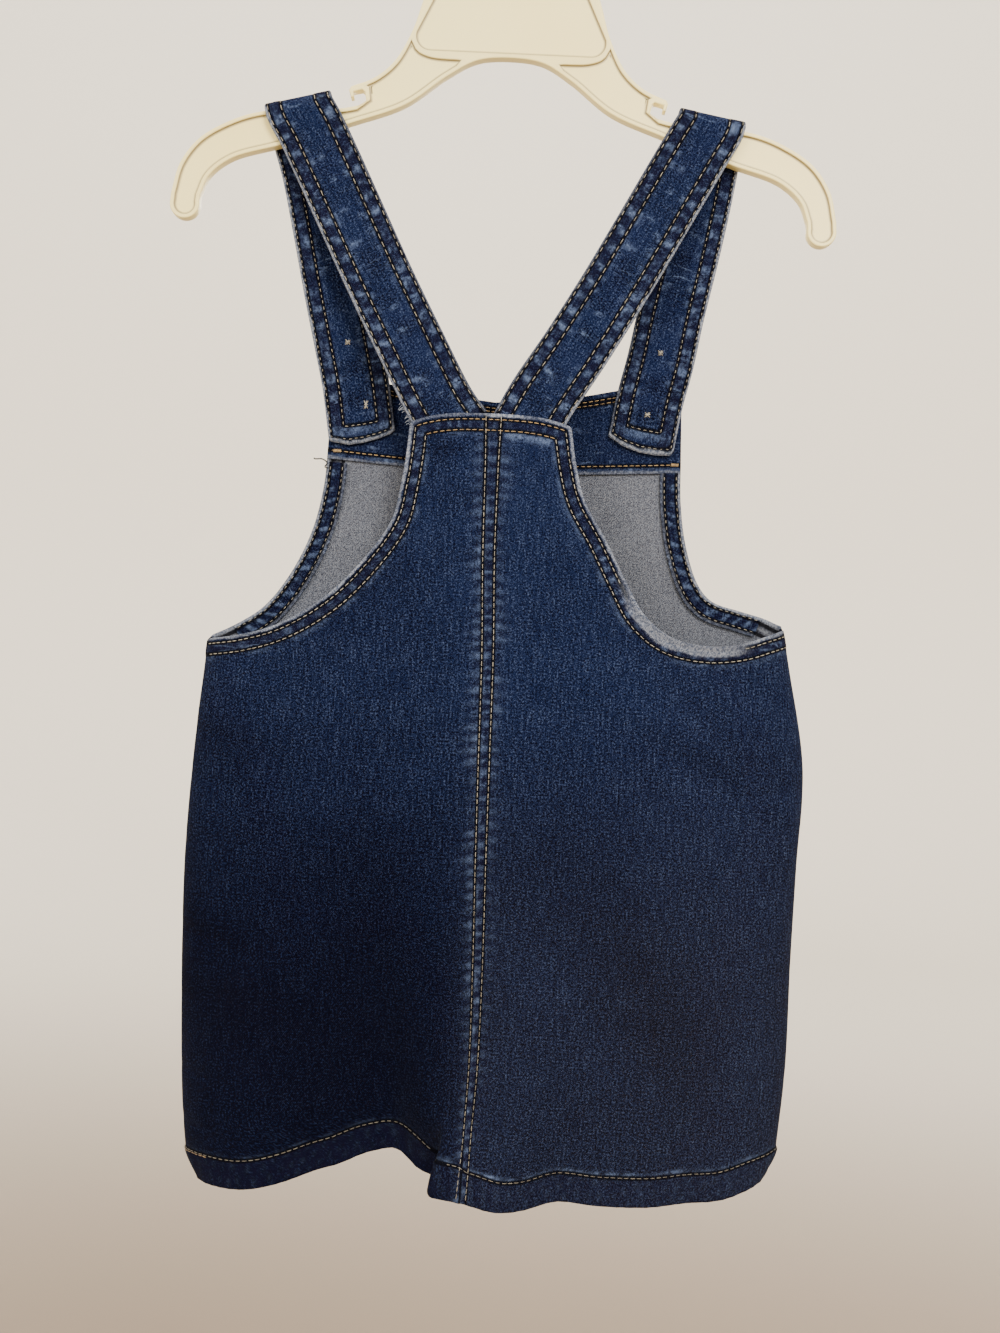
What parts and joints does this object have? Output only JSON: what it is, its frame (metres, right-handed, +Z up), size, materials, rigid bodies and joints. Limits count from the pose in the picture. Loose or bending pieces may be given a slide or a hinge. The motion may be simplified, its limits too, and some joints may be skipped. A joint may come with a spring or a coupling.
{
  "type": "denim pinafore dress on a hanger",
  "caption": "Child's denim pinafore dress with bib and buttoned shoulder straps, hung by the straps over a moulded plastic hanger with its hook.",
  "frame": {"origin": "inside top of the hanger's hook, where the rail that holds it touches", "axes": "+Z up, +Y the way the dress's front faces, +X towards the wearer's right side"},
  "size_m": [0.3256, 0.0608, 0.6566],
  "materials": {
    "denim": "indigo twill, right side dark blue and wrong side mid grey, pale along worn edges",
    "facing": "dark blue twill, right side out",
    "topstitch": "gold cotton-wrapped thread",
    "button": "four-hole button, satin",
    "hanger_plastic": "cream moulded plastic, soft gloss"
  },
  "bodies": {
    "root": {"back_left": "denim", "back_right": "denim", "front": "denim", "bib_facing": "facing", "armhole_facing_left": "facing", "armhole_facing_right": "facing", "strap_left": "denim", "strap_right": "denim", "button_left_upper": "button", "button_left_lower": "button", "button_right_upper": "button", "button_right_lower": "button", "hanger": "hanger_plastic", "hanger_hook": "hanger_plastic"}
  },
  "joints": []
}
